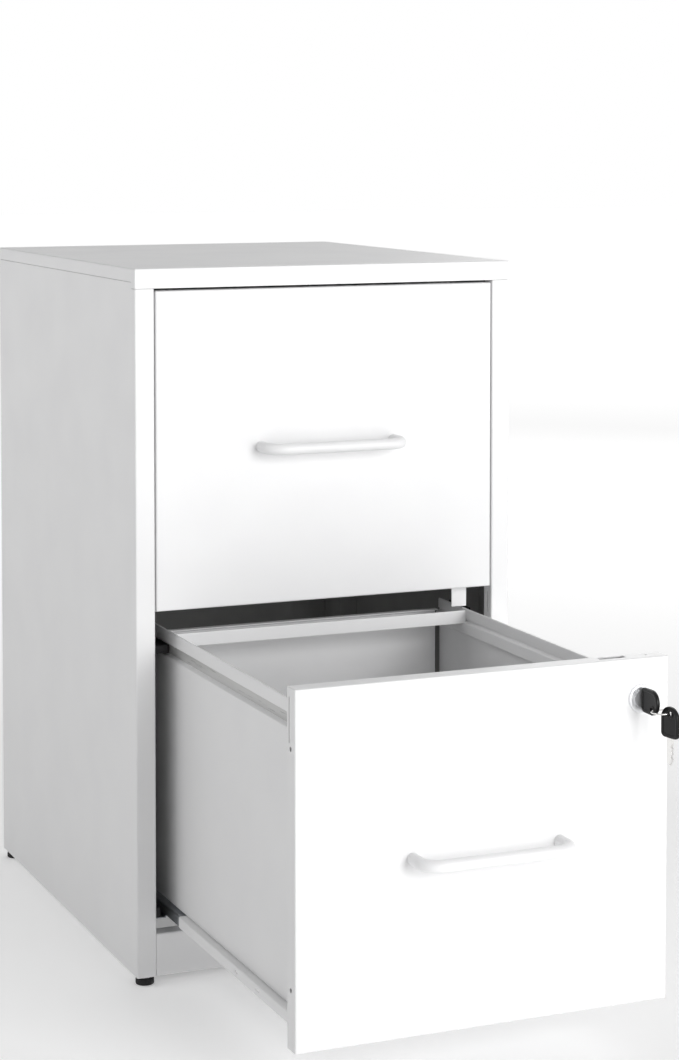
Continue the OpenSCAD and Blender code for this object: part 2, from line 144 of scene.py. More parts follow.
def spread(tree, value, low, high):
    """Maps the noise's middle range onto low to high."""
    return add(tree, "ShaderNodeMapRange", {
        "Value": value, "From Min": 0.3, "From Max": 0.7, "To Min": low, "To Max": high,
    }).outputs["Result"]


def bumped(tree, principled, height, depth_mm, strength):
    """Feeds a height to the shader's normal: depth_mm is the relief's real depth."""
    principled_normal = add(tree, "ShaderNodeBump", {
        "Height": height, "Distance": depth_mm * MM, "Strength": strength,
    })
    tree.links.new(principled_normal.outputs["Normal"], principled.inputs["Normal"])


# Polyester powder coat, sprayed and baked: opaque satin white with orange peel 2.5 mm across
powder_coat, tree, shader = new_material("white_powder_coat", IOR=1.5)
peel = grain(tree, 2.5)
cloud = grain(tree, 60)
tint = add(tree, "ShaderNodeMix", {
    0: cloud, 6: linear("#F0F0F0"), 7: linear("#EBEBEC"),
}, data_type="RGBA").outputs[2]
tree.links.new(tint, shader.inputs["Base Color"])
tree.links.new(spread(tree, cloud, 0.36, 0.46), shader.inputs["Roughness"])
bumped(tree, shader, peel, 0.03, 0.5)

# Painted shade: the white coat as a matt grey on the faces inside the body, where shade falls
shaded_interior_coat, tree, shader = new_material("painted_shade_interior_coat", IOR=1.5, Roughness=0.7)
interior_shade_mottle = grain(tree, 35)
tint = add(tree, "ShaderNodeMix", {
    0: interior_shade_mottle, 6: linear("#8F8F8F"), 7: linear("#A3A3A2"),
}, data_type="RGBA").outputs[2]
tree.links.new(tint, shader.inputs["Base Color"])
bumped(tree, shader, grain(tree, 1.2), 0.02, 0.5)

# Painted shade in the drawer's side groove: the white coat greyed where the recess is shaded, a little
# smoother, with streaks along the groove
groove_shade_coat, tree, shader = new_material("painted_shade_groove_coat", IOR=1.5)
groove_streaks = grain(tree, 1.5, (1, 0.03, 1), 3.0)
tint = add(tree, "ShaderNodeMix", {
    0: groove_streaks, 6: linear("#B9B9B8"), 7: linear("#D0D0CF"),
}, data_type="RGBA").outputs[2]
tree.links.new(tint, shader.inputs["Base Color"])
tree.links.new(spread(tree, groove_streaks, 0.25, 0.4), shader.inputs["Roughness"])


def plated(name, colour, rough, streak_mm, along, relief_mm=0.01):
    """Plated steel: metal whose roughness and relief follow fine streaks left by rolling or
    drawing. Along gives the stretch of the streaks on each axis."""
    made, tree, shader = new_material(name, Metallic=1.0, Base_Color=linear(colour))
    streaks = grain(tree, streak_mm, along, 3.0)
    tree.links.new(spread(tree, streaks, rough * 0.75, rough * 1.3), shader.inputs["Roughness"])
    bumped(tree, shader, streaks, relief_mm, 0.4)
    return made


def moulded(name, colour, rough, texture_mm, relief_mm, gloss=0.35):
    """Injection-moulded plastic: an even colour and the fine erosion texture of its mould."""
    made, tree, shader = new_material(name, IOR=1.53, Base_Color=linear(colour), Specular_IOR_Level=gloss)
    texture = grain(tree, texture_mm)
    tree.links.new(spread(tree, texture, rough * 0.9, rough * 1.15), shader.inputs["Roughness"])
    bumped(tree, shader, texture, relief_mm, 0.6)
    return made


ALONG_Y = (1, 0.04, 1)
zinc_plate = plated("rolled_zinc_plate", "#A9ACB0", 0.36, 0.8, ALONG_Y)
bright_zinc = plated("bright_zinc_plate", "#C9CBCE", 0.26, 0.6, (1, 1, 0.2))
nickel_plate = plated("polished_nickel_plate", "#E2E1DF", 0.17, 1.2, (1, 1, 1))
satin_chrome = plated("satin_chrome_plate", "#E6E7E9", 0.4, 1.5, (1, 1, 0.3), 0.002)
glass_nylon = moulded("black_nylon", "#2A2A2C", 0.5, 0.7, 0.02)
grip_abs = moulded("black_abs", "#09090A", 0.3, 0.5, 0.008, 0.22)
pad_polymer = moulded("black_polyethylene", "#131314", 0.55, 0.8, 0.03)


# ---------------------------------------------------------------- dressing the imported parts
# Stamped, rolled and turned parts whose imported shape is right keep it. Each gets its finish,
# and its cut edges get the small radius that tumbling and coating leave.


def dress(node, material, edge_mm=0.22):
    """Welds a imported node's triangles, rounds its edges and gives it a finish."""
    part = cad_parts[node]
    part.data.materials.clear()
    part.data.materials.append(material)
    part.modifiers.new("weld", "WELD").merge_threshold = 0.01 * MM
    if edge_mm:
        edge = part.modifiers.new("edge", "BEVEL")
        edge.width = edge_mm * MM
        edge.segments = 2
        edge.limit_method = "ANGLE"
        edge.angle_limit = np.radians(40)
        edge.use_clamp_overlap = True
        edge.harden_normals = True
    return part


SIDES = ("left", "right")
LEVELS = ("upper", "lower")
for name in ("cross_rail", "lock_strike"):
    dress(name, powder_coat, 0.3)
# Painted shade: the rails and uprights inside the body get the grey interior coat.
for name in ("rear_rail", "front_uprights", "rear_uprights"):
    dress(name, shaded_interior_coat, 0.3)
for name in ("side_guides", "rail_bumpers"):
    dress(name, glass_nylon, 0.6)
dress("foot_nuts", bright_zinc, 0.3)
for level in LEVELS:
    for side in SIDES:
        dress(f"{level}_rail_{side}", zinc_plate)
    dress(f"{level}_inner_front", powder_coat)
    dress(f"{level}_hook_rails", powder_coat, 0.5)
    dress(f"{level}_handle_screws", bright_zinc, 0.4)


# ---------------------------------------------------------------- top panel
# One sheet of 1 mm steel pressed into a shallow lid. Its front lip is deeper than the others
# and runs a little way round both corners; a return is folded back under the front lip.

SHEET = 1.0 * MM
INNER_BEND = 0.6 * MM
OUTER_BEND = INNER_BEND + SHEET


def new_object(name, vertices, faces, smooth_angle=35):
    """A closed mesh with its doubles merged, its faces outward and its flats kept flat."""
    mesh = bpy.data.meshes.new(name)
    mesh.from_pydata(np.asarray(vertices, float).tolist(), [], faces)
    shape = bmesh.new()
    shape.from_mesh(mesh)
    bmesh.ops.remove_doubles(shape, verts=shape.verts, dist=0.002 * MM)
    bmesh.ops.recalc_face_normals(shape, faces=shape.faces)
    shape.to_mesh(mesh)
    shape.free()
    mesh.shade_smooth()
    mesh.set_sharp_from_angle(angle=np.radians(smooth_angle))
    made = bpy.data.objects.new(name, mesh)
    bpy.context.scene.collection.objects.link(made)
    return made


def from_rings(name, rings, smooth_angle=35, closed=False):
    """Joins rings of equal point count with quads and caps both ends, or closes the last ring
    on the first."""
    rings = np.asarray(rings, float)
    count, size = rings.shape[:2]
    bands = count if closed else count - 1
    k, j = np.meshgrid(np.arange(bands), np.arange(size), indexing="ij")
    here, there = k * size, (k + 1) % count * size
    step = (j + 1) % size
    quads = np.stack([here + j, here + step, there + step, there + j], -1).reshape(-1, 4)
    faces = quads.tolist()
    if not closed:
        faces += [list(range(size))[::-1], list(range((count - 1) * size, count * size))]
    return new_object(name, rings.reshape(-1, 3), faces, smooth_angle)


def rounded_rectangle(low, high, radius, inset=0.0, steps=4, stops=()):
    """Counterclockwise points of a rectangle with its corners cut by arcs. It is drawn in by
    inset, and stops are extra points along both upright sides."""
    (x0, y0), (x1, y1) = np.array(low) + inset, np.array(high) - inset
    r = max(radius - inset, 0.05 * MM)
    turn = np.linspace(0, np.pi / 2, steps + 1)
    right = [(x1, y) for y in stops]
    left = [(x0, y) for y in stops[::-1]]
    corners = []
    for start, (x, y) in enumerate([(x1 - r, y0 + r), (x1 - r, y1 - r), (x0 + r, y1 - r), (x0 + r, y0 + r)]):
        angle = turn + (start - 1) * np.pi / 2
        corners.append(np.stack([x + r * np.cos(angle), y + r * np.sin(angle)], -1).tolist())
    return np.array(corners[0] + right + corners[1] + corners[2] + left + corners[3])


def bend(radius, steps=5):
    """Quarter turn of a bend: how far in from the edge, and how far down from the face."""
    turn = np.linspace(0, np.pi / 2, steps)
    return radius * (1 - np.sin(turn)), radius * (1 - np.cos(turn))


def lid_profile(depth, flat=8 * MM):
    """(inset, depth) of a pressed lid's section: over the face, round the bend, down the
    lip, and back up inside at one sheet's thickness."""
    across, down = bend(OUTER_BEND)
    outside = [(flat, 0.0), *zip(across, down), (0.0, depth)]
    across, down = bend(INNER_BEND)
    inside = [(SHEET, depth), *zip(across[::-1] + SHEET, down[::-1] + SHEET), (flat, SHEET)]
    return outside + inside


def extruded(name, outline, axis, low, high, smooth_angle=35):
    """Runs a closed flat outline along X, Y or Z. It is drawn in the other two axes."""
    u, v = np.asarray(outline, float).T
    rings = [np.insert(np.stack([u, v], -1), axis, w, axis=1) for w in (low, high)]
    return from_rings(name, rings, smooth_angle)


def circle(centre, radius, points=28):
    """Points round a circle: the centre plus the radius times (cosine, sine) of even turns."""
    turn = np.linspace(0, 2 * np.pi, points, endpoint=False)
    return np.array(centre) + radius * np.stack([np.cos(turn), np.sin(turn)], -1)


def cut(piece, cutters, smooth_angle=35):
    """Takes the cutters out of a closed piece for good."""
    for cutter in cutters:
        opening = piece.modifiers.new("opening", "BOOLEAN")
        opening.operation = "DIFFERENCE"
        opening.solver = "EXACT"
        opening.object = cutter
    graph = bpy.context.evaluated_depsgraph_get()
    piece.data = bpy.data.meshes.new_from_object(piece.evaluated_get(graph))
    piece.modifiers.clear()
    piece.data.set_sharp_from_angle(angle=np.radians(smooth_angle))
    for cutter in cutters:
        bpy.data.objects.remove(cutter)
    return piece


def finish_piece(piece, material, body, node=None, edge_mm=0.25):
    """Gives a new piece its finish, its rounded edges and its body, and hides the node it stands for."""
    piece.data.materials.clear()
    piece.data.materials.append(material)
    if edge_mm:
        edge = piece.modifiers.new("edge", "BEVEL")
        edge.width = edge_mm * MM
        edge.segments = 2
        edge.limit_method = "ANGLE"
        edge.angle_limit = np.radians(50)
        edge.harden_normals = True
    piece.modifiers.new("flats", "WEIGHTED_NORMAL").keep_sharp = True
    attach(piece, body)
    if node:
        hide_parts(node)
    return piece


def recoat(piece, material, chosen):
    """Gives a second finish to the faces that chosen(centres, normals) picks."""
    piece.data.materials.append(material)
    count = len(piece.data.polygons)
    centres, normals = np.empty(3 * count), np.empty(3 * count)
    piece.data.polygons.foreach_get("center", centres)
    piece.data.polygons.foreach_get("normal", normals)
    picked = chosen(centres.reshape(-1, 3), normals.reshape(-1, 3))
    piece.data.polygons.foreach_set("material_index", picked.astype(np.int32))


low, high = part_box("top_panel")
LIP_WRAP = 9.5 * MM
SIDE_LIP = 12 * MM
wrap_end = low.y + LIP_WRAP
wrap_stops = [wrap_end - 0.02 * MM, wrap_end + 0.02 * MM]
rings = []
for inset, depth in lid_profile(1.0):
    ring = rounded_rectangle(low.xy, high.xy, 1.2 * MM, inset, stops=wrap_stops)
    lip = np.where(ring[:, 1] < wrap_end, high.z - low.z, SIDE_LIP)
    rings.append(np.column_stack([ring, high.z - (lip if depth == 1.0 else np.full(len(ring), depth))]))
top_panel = from_rings("top_panel_lid", rings)
finish_piece(top_panel, powder_coat, "cabinet", "top_panel", 0.2)
# Painted shade: the underside of the lid gets the grey interior coat.
recoat(top_panel, shaded_interior_coat, lambda at, facing: (facing[:, 2] < -0.5) & (at[:, 2] > high.z - 2 * SHEET))

STILE = 17.8 * MM
STILE_RETURN = 15 * MM
return_x = high.x - STILE


def folded(path, radius=INNER_BEND, thickness=SHEET, steps=5):
    """Closed section of a folded sheet. The path is its outer skin and the metal lies on its
    left. At each bend both skins turn about one centre, a sheet's thickness apart. Radius is
    the inner radius of every bend, or one for each."""
    path = np.asarray(path, float)
    radii = np.broadcast_to(radius, len(path) - 2)
    runs = np.diff(path, axis=0)
    runs /= np.linalg.norm(runs, axis=1)[:, None]
    left = np.stack([-runs[:, 1], runs[:, 0]], -1)
    skin, back = [path[0]], [path[0] + thickness * left[0]]
    for corner, a, b, run_a, run_b, radius in zip(path[1:-1], left, left[1:], runs, runs[1:], radii):
        turns_left = run_a[0] * run_b[1] - run_a[1] * run_b[0] > 0
        reach = radius + thickness if turns_left else -radius
        centre = corner + reach * (a + b) / (1 + a @ b)
        share = np.linspace(0, 1, steps)[:, None]
        swing = np.arccos(np.clip(a @ b, -1, 1))
        turned = (np.sin((1 - share) * swing) * a + np.sin(share * swing) * b) / np.sin(swing)
        skin += list(centre - reach * turned)
        back += list(centre - (reach - thickness) * turned)
    skin.append(path[-1])
    back.append(path[-1] + thickness * left[-1])
    return np.array(skin + back[::-1])


lip_return = extruded("top_panel_lip_return", folded([
    (low.y + STILE_RETURN, low.z + SHEET), (low.y + OUTER_BEND, low.z + SHEET),
])[::-1], 0, -return_x + 0.3 * MM, return_x - 0.3 * MM)
finish_piece(lip_return, powder_coat, "cabinet", None, 0.2)


# ---------------------------------------------------------------- side panels
# Each side is one folded sheet: a flange at the front with a return behind it, a narrow
# flange at the back, and a shelf at the bottom that takes the feet. The right return has the
# slot that the latch would use.

BACK_FLANGE = 15 * MM
LATCH_SLOT = (7 * MM, 305.5 * MM, 1.6 * MM, 19 * MM)
front_y, back_y = low.y, high.y
lip_low = low.z


def block(name, lows, highs):
    """A box cutter between two corners."""
    (x0, y0, z0), (x1, y1, z1) = lows, highs
    return extruded(name, [(x0, y0), (x1, y0), (x1, y1), (x0, y1)], 2, z0, z1)


for side, sign in (("left", 1), ("right", -1)):
    low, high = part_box(f"side_panel_{side}")
    outer, inner = (low.x, low.x + STILE) if sign > 0 else (high.x, high.x - STILE)
    seam_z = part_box("top_panel")[1].z - SIDE_LIP - 0.3 * MM
    path = [
        (outer + sign * BACK_FLANGE, back_y), (outer, back_y), (outer, front_y),
        (inner, front_y), (inner, front_y + STILE_RETURN),
    ]
    section = folded(path if sign > 0 else path[::-1])
    panel = extruded(f"side_panel_{side}_sheet", section, 2, low.z, seam_z)
    past = 2 * MM
    notch = sorted((outer - sign * past, inner + sign * past))
    cutters = [block("notch", (notch[0], front_y - past, lip_low - 0.3 * MM),
                     (notch[1], wrap_end + 0.3 * MM, seam_z + past)),
               block("return_notch", (min(inner - past, inner + past), front_y - past, lip_low - 0.3 * MM),
                     (max(inner - past, inner + past), front_y + STILE_RETURN + past, seam_z + past))]
    if side == "right":
        slot_y, slot_z, slot_w, slot_h = LATCH_SLOT
        cutters.append(block("slot", (inner - past, front_y + slot_y, slot_z),
                             (inner + past, front_y + slot_y + slot_w, slot_z + slot_h)))
    cut(panel, cutters)
    finish_piece(panel, powder_coat, "cabinet", f"side_panel_{side}", 0.2)
    # Painted shade: the sheet's inner face gets the grey interior coat.
    recoat(panel, shaded_interior_coat, lambda at, facing: (sign * facing[:, 0] > 0.5)
           & (abs(at[:, 0] - outer) < 2 * SHEET))

    shelf = sorted((outer + sign * SHEET, inner))
    foot_low, foot_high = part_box(f"foot_stud_front_{side}")
    foot_x = (foot_low.x + foot_high.x) / 2
    foot_holes = []
    for depth in ("front", "rear"):
        foot_low, foot_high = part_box(f"foot_stud_{depth}_{side}")
        foot_holes.append(extruded("hole", circle((foot_x, (foot_low.y + foot_high.y) / 2), 3.5 * MM),
                                   2, low.z - past, low.z + past))
    shelf_piece = block(f"side_panel_{side}_shelf", (shelf[0], front_y + SHEET, low.z),
                        (shelf[1], back_y - 2 * SHEET, low.z + SHEET))
    cut(shelf_piece, foot_holes)
    finish_piece(shelf_piece, powder_coat, "cabinet", None, 0.2)


# ---------------------------------------------------------------- pressed back panel
# The back is a flat sheet stiffened by two raised panels and spot welded between the sides.


def smooth_step(value, start, end):
    """0 before the start, 1 after the end, and 3 s^2 - 2 s^3 of the share s passed between them."""
    share = np.clip((value - start) / (end - start), 0, 1)
    return share * share * (3 - 2 * share)


def raised(u, v, u_range, v_range, slope):
    """A plateau of height 1 with sides that rise over the given slope."""
    height = 1
    for value, (start, end) in ((u, u_range), (v, v_range)):
        height = height * smooth_step(value, start, start + slope) * smooth_step(-value, -end, -end + slope)
    return height


def lines(low, high, edges, slope):
    """Grid lines across a pressed sheet: close together where the sheet slopes."""
    values = [low, high]
    for edge in edges:
        values += list(np.linspace(edge - slope, edge + slope, 9))
    values += list(np.linspace(low, high, 13))
    return np.unique(np.clip(np.round(values, 6), low, high))


def pressed_sheet(name, us, vs, height, axis, base, thickness):
    """Two skins over one grid, a sheet's thickness apart along the axis, joined at the rim."""
    u, v = np.meshgrid(us, vs, indexing="ij")
    lift = height(u, v)
    skins = []
    for offset in (0.0, thickness):
        flat = np.stack([u, v], -1).reshape(-1, 2)
        skins.append(np.insert(flat, axis, (base + offset + lift).reshape(-1), axis=1))
    nu, nv = len(us), len(vs)
    index = np.arange(nu * nv).reshape(nu, nv)
    quad = np.stack([index[:-1, :-1], index[1:, :-1], index[1:, 1:], index[:-1, 1:]], -1).reshape(-1, 4)
    rim = np.concatenate([index[:, 0], index[-1, 1:], index[-2::-1, -1], index[0, -2:0:-1]])
    ahead = np.roll(rim, -1)
    wall = np.stack([rim, rim + nu * nv, ahead + nu * nv, ahead], -1)
    faces = np.concatenate([quad, quad + nu * nv, wall]).tolist()
    return new_object(name, np.concatenate(skins), faces)


low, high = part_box("back_panel")
rib_x = (low.x + 40 * MM, high.x - 40 * MM)
rib_z = [(low.z + 45 * MM, low.z + 290 * MM), (low.z + 335 * MM, high.z - 45 * MM)]
SLOPE = 6 * MM
relief = 0.9 * MM


def back_relief(x, z):
    """The pressing's height: the relief times the sum of the plateaus, which do not overlap."""
    return relief * sum(raised(x, z, rib_x, span, SLOPE) for span in rib_z)


back_panel = pressed_sheet("back_panel_sheet", lines(low.x, high.x, rib_x, SLOPE),
                           lines(low.z, high.z, [edge for span in rib_z for edge in span], SLOPE),
                           back_relief, 1, low.y, SHEET)
finish_piece(back_panel, powder_coat, "cabinet", "back_panel", 0)
# Painted shade: the back's inner face gets the grey interior coat.
recoat(back_panel, shaded_interior_coat, lambda at, facing: facing[:, 1] < -0.5)


# ---------------------------------------------------------------- kick plate
# A channel folded from one strip closes the front under the lower drawer.

low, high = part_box("kick_plate")
kick = extruded("kick_plate_channel", folded([
    (high.y, high.z), (low.y, high.z), (low.y, low.z), (high.y, low.z),
]), 0, low.x, high.x)
finish_piece(kick, powder_coat, "cabinet", "kick_plate")


# ---------------------------------------------------------------- drawer fronts
# A hollow front: one sheet pressed into a pan with narrow returns behind. Both edges have a
# slot and two holes for the latch rod and the hanging jig, and the top edge has a slot too.

FRONT_RETURN = 14 * MM
EDGE_SLOT = (7.6 * MM, 43 * MM, 11 * MM, 1.5 * MM)
EDGE_HOLE = (47.2 * MM, 9 * MM, 2 * MM)
TOP_SLOT = (103 * MM, 24 * MM, 6.5 * MM, 7 * MM)
TOP_HOLE = (146 * MM, 1.5 * MM)
HANDLE_PITCH = 128 * MM
BARREL_HOLE = 8.7 * MM


def pan_profile(depth):
    """(inset, depth) of the pan's section: face, bend, edge, bend, return, and back inside."""
    across, down = bend(OUTER_BEND)
    outside = [(9 * MM, 0.0), *zip(across, down), *zip(across[::-1], depth - down[::-1]),
               (FRONT_RETURN, depth)]
    across, down = bend(INNER_BEND)
    across, down = across + SHEET, down + SHEET
    inside = [(FRONT_RETURN, depth - SHEET), *zip(across, depth - down),
              *zip(across[::-1], down[::-1]), (9 * MM, SHEET)]
    return outside + inside


lock_low, lock_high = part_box("lock_housing")
lock_centre = (lock_low + lock_high) / 2
for level in LEVELS:
    low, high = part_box(f"{level}_front_pan")
    rings = []
    for inset, depth in pan_profile(high.y - low.y):
        ring = rounded_rectangle((low.x, low.z), (high.x, high.z), 0.9 * MM, inset)
        rings.append(np.insert(ring, 1, low.y + depth, axis=1))
    pan = from_rings(f"{level}_drawer_front", rings)
    past = 3 * MM
    cutters = []
    slot_top, slot_end, slot_y, slot_w = EDGE_SLOT
    hole_rise, hole_y, hole_r = EDGE_HOLE
    for edge in (low.x, high.x):
        cutters.append(block("slot", (edge - past, low.y + slot_y, high.z - slot_end),
                             (edge + past, low.y + slot_y + slot_w, high.z - slot_top)))
        for z in (low.z + hole_rise, high.z - hole_rise):
            cutters.append(extruded("hole", circle((low.y + hole_y, z), hole_r), 0, edge - past, edge + past))
    slot_x, slot_l, slot_y, slot_w = TOP_SLOT
    cutters.append(block("slot", (slot_x, low.y + slot_y, high.z - past),
                         (slot_x + slot_l, low.y + slot_y + slot_w, high.z + past)))
    hole_x, hole_r = TOP_HOLE
    cutters.append(extruded("hole", circle((hole_x, low.y + hole_y), hole_r), 2,
                            high.z - past, high.z + past))
    if level == "lower":
        cutters.append(extruded("hole", circle((lock_centre.x, lock_centre.z), BARREL_HOLE, 48),
                                1, low.y - past, low.y + past))
    cut(pan, cutters)
    finish_piece(pan, powder_coat, f"{level}_drawer", f"{level}_front_pan", 0.2)


# ---------------------------------------------------------------- drawer walls
# Each wall is rolled from one strip: a closed hem along the top, a stiff rim band, and a groove
# that runs past the black guide block. The bottom sheet and back wall are spot welded to them.

RIM_BAND = 11.3 * MM
GROOVE = 12 * MM
GROOVE_TOP = (3.6 * MM, 1.8 * MM)
GROOVE_FOOT = (4.5 * MM, 1.4 * MM)
HEM = (2.2 * MM, 9 * MM)
WALL_BENDS = np.array([0.1, 0.1, 0.5, 0.5, 0.3, 0.3]) * MM
WALL_NOTCH = (10 * MM, 14 * MM, 12 * MM)
WALL_FOOT = 1.1 * MM

for level in LEVELS:
    for side, sign in (("left", 1), ("right", -1)):
        low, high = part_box(f"{level}_wall_{side}")
        outer = low.x if sign > 0 else high.x
        hem_w, hem_h = HEM
        rim = high.z - RIM_BAND
        path = [(hem_w, high.z - hem_h), (hem_w, high.z), (0, high.z), (0, rim),
                (GROOVE_TOP[0], rim - GROOVE_TOP[1]), (GROOVE_FOOT[0], rim - GROOVE + GROOVE_FOOT[1]),
                (0, rim - GROOVE), (0, low.z + WALL_FOOT)]
        path = [(outer + sign * x, z) for x, z in path]
        section = folded(path[::sign], WALL_BENDS[::sign])
        wall = extruded(f"{level}_drawer_wall_{side}", section, 1, low.y, high.y)
        if (level, side) == ("lower", "right"):
            notch_l, notch_drop, notch_w = WALL_NOTCH
            cut(wall, [block("notch", (outer - notch_w, low.y - MM, lock_centre.z - notch_drop),
                             (outer + MM, low.y + notch_l, high.z + MM))])
        finish_piece(wall, powder_coat, f"{level}_drawer", f"{level}_wall_{side}")
        # Painted shade: the outward faces of the groove's floor get the grey groove coat.
        recoat(wall, groove_shade_coat, lambda at, facing: (sign * facing[:, 0] < -0.7)
               & (sign * (at[:, 0] - outer) > 2 * MM) & (abs(at[:, 2] - rim + GROOVE / 2) < GROOVE / 2))

    low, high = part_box(f"{level}_back_wall")
    section = folded([(high.y, low.z), (high.y, high.z), (low.y, high.z)])
    back_wall = extruded(f"{level}_drawer_back", section, 0, low.x, high.x)
    finish_piece(back_wall, powder_coat, f"{level}_drawer", f"{level}_back_wall")

    low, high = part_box(f"{level}_bottom")
    bead_y = (low.y + 30 * MM, high.y - 30 * MM)
    beads = [(x - 14 * MM, x + 14 * MM) for x in np.linspace(low.x, high.x, 5)[1:-1]]
    floor_sheet = pressed_sheet(
        f"{level}_drawer_bottom", lines(low.x, high.x, [e for b in beads for e in b], 3 * MM),
        lines(low.y, high.y, bead_y, 3 * MM),
        lambda x, y: 1.2 * MM * sum(raised(x, y, b, bead_y, 3 * MM) for b in beads),
        2, low.z, SHEET)
    finish_piece(floor_sheet, powder_coat, f"{level}_drawer", f"{level}_bottom", 0)


# ---------------------------------------------------------------- handles
# Round steel bar bent into a flat U, powder coated with the cabinet and screwed on from
# inside the front.

BAR = 5 * MM
HANDLE_BEND = 14 * MM


def tube(name, path, radius, sides=28):
    """A round bar along a level path: a circle in each plane square to the path."""
    path = np.asarray(path, float)
    way = np.gradient(path, axis=0)
    way /= np.linalg.norm(way, axis=1)[:, None]
    across = np.stack([-way[:, 1], way[:, 0], np.zeros(len(path))], -1)
    turn = np.linspace(0, 2 * np.pi, sides, endpoint=False)
    rings = path[:, None] + radius * (np.cos(turn)[None, :, None] * across[:, None]
                                      + np.sin(turn)[None, :, None] * np.array([0, 0, 1]))
    return from_rings(name, rings, 50)


for level in LEVELS:
    low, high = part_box(f"{level}_handle")
    leg, z = HANDLE_PITCH / 2, (low.z + high.z) / 2
    bar_y = low.y + BAR
    turn = np.linspace(0, np.pi / 2, 13)
    left_bend = np.stack([-leg + HANDLE_BEND * (1 - np.cos(turn)),
                          bar_y + HANDLE_BEND * (1 - np.sin(turn))], -1)
    half = np.concatenate([[(-leg, high.y), (-leg, high.y - 0.5 * MM)], left_bend])
    path = np.concatenate([half, half[::-1] * (-1, 1)])
    handle = tube(f"{level}_bar_handle", np.insert(path, 2, z, axis=1), BAR)
    finish_piece(handle, powder_coat, f"{level}_drawer", f"{level}_handle", 0)


# ---------------------------------------------------------------- runners
# Three nested channels, roll formed. The drawer's own is coated with the drawer and has two
# locating slots; the middle one is bare zinc plate.

RUNNER_SLOT = (7 * MM, 2 * MM)
RUNNER_SLOTS_AT = (87 * MM, 134 * MM)
for level in LEVELS:
    for side, sign in (("left", 1), ("right", -1)):
        for kind, finish, body, slot in (
            ("runner", powder_coat, f"{level}_drawer", "white_enamel"),
            ("middle", zinc_plate, f"{level}_middle_{side}", "runner_steel"),
        ):
            low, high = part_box(f"{level}_{kind}_{side}")
            section = folded([(high.x, low.z), (high.x, high.z), (low.x, high.z), (low.x, low.z)], 0.4 * MM)
            channel = extruded(f"{level}_{kind}_channel_{side}", section, 1, low.y, high.y)
            if kind == "runner":
                slot_l, slot_h = RUNNER_SLOT
                outer = low.x if sign > 0 else high.x
                cut(channel, [block("slot", (outer - 1.5 * MM, low.y + y, (low.z + high.z - slot_h) / 2),
                                    (outer + 1.5 * MM, low.y + y + slot_l, (low.z + high.z + slot_h) / 2))
                              for y in RUNNER_SLOTS_AT])
            finish_piece(channel, finish, body, f"{level}_{kind}_{side}", 0.15)


# ---------------------------------------------------------------- levelling feet
# A hard black pad moulded round the hexagon of a zinc-plated M6 screw. The pad's rim is
# ribbed for the fingers.

RIBS = 20
RIB_DEPTH = 0.35 * MM
HEXAGON_H = 1.9 * MM
THREAD_R = 2.7 * MM
THREAD_DEPTH = 0.22 * MM
THREAD_PITCH = 1 * MM


def turned(name, centre, radii, heights, ripple=None, points=120, smooth_angle=35):
    """Revolves (radius, height) pairs about a vertical axis. Ripple changes each radius by
    angle and height."""
    turn = np.linspace(0, 2 * np.pi, points, endpoint=False)
    rings = []
    for radius, height in zip(radii, heights):
        r = radius if ripple is None else radius + ripple(turn, height)
        rings.append(np.stack([centre[0] + r * np.cos(turn), centre[1] + r * np.sin(turn),
                               np.full(points, height)], -1))
    return from_rings(name, rings, smooth_angle)


for depth in ("front", "rear"):
    for side in SIDES:
        low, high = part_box(f"foot_pad_{depth}_{side}")
        centre = ((low.x + high.x) / 2, (low.y + high.y) / 2)
        r, h = (high.x - low.x) / 2, high.z
        grip_rise = (1.2 * MM, h - 1.2 * MM)

        def ribs(turn, z):
            """Grooves of the rib depth times a cubed raised cosine of the turn, inside the grip's rise."""
            inside = grip_rise[0] <= z <= grip_rise[1]
            return -RIB_DEPTH * (0.5 + 0.5 * np.cos(RIBS * turn)) ** 3 * inside

        heights = [0, 0, 0.35 * MM, 1.2 * MM, 1.21 * MM, h - 1.21 * MM, h - 1.2 * MM, h - 0.4 * MM, h, h]
        radii = [r * 0.5, r - 0.9 * MM, r - 0.3 * MM, r, r, r, r, r - 0.3 * MM, r - 1 * MM, r * 0.5]
        pad = turned(f"foot_{depth}_{side}_pad", centre, radii, heights, ribs)
        finish_piece(pad, pad_polymer, f"foot_{depth}_{side}", f"foot_pad_{depth}_{side}", 0)

        low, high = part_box(f"foot_stud_{depth}_{side}")
        hex_top = low.z + HEXAGON_H
        flat_r = (high.y - low.y) / 2

        def hexagon(turn, z):
            """What a hexagon adds to its inner circle: flat_r over the cosine of the turn from the
            middle of the nearest side, less flat_r."""
            from_middle = turn % (np.pi / 3) - np.pi / 6
            return flat_r / np.cos(from_middle) - flat_r

        hex_part = turned(f"foot_{depth}_{side}_hexagon", centre,
                          [flat_r * 0.6, flat_r - 0.35 * MM, flat_r,
                           flat_r, flat_r - 0.35 * MM, flat_r * 0.6],
                          [low.z, low.z, low.z + 0.2 * MM, hex_top - 0.2 * MM, hex_top, hex_top],
                          hexagon, 72)
        finish_piece(hex_part, bright_zinc, f"foot_{depth}_{side}",
                     f"foot_stud_{depth}_{side}", 0)
        thread_z = np.arange(hex_top - 0.1 * MM, high.z - 0.5 * MM, THREAD_PITCH / 8)
        thread = turned(f"foot_{depth}_{side}_thread", centre, np.full(len(thread_z), THREAD_R), thread_z,
                        lambda turn, z: THREAD_DEPTH * np.cos(2 * np.pi * z / THREAD_PITCH - turn), 40)
        finish_piece(thread, bright_zinc, f"foot_{depth}_{side}", None, 0)


# ---------------------------------------------------------------- lock
# A cam lock: a plated collar and barrel held in the drawer front, a plug that turns in it,
# and a steel cam on the plug's tail.


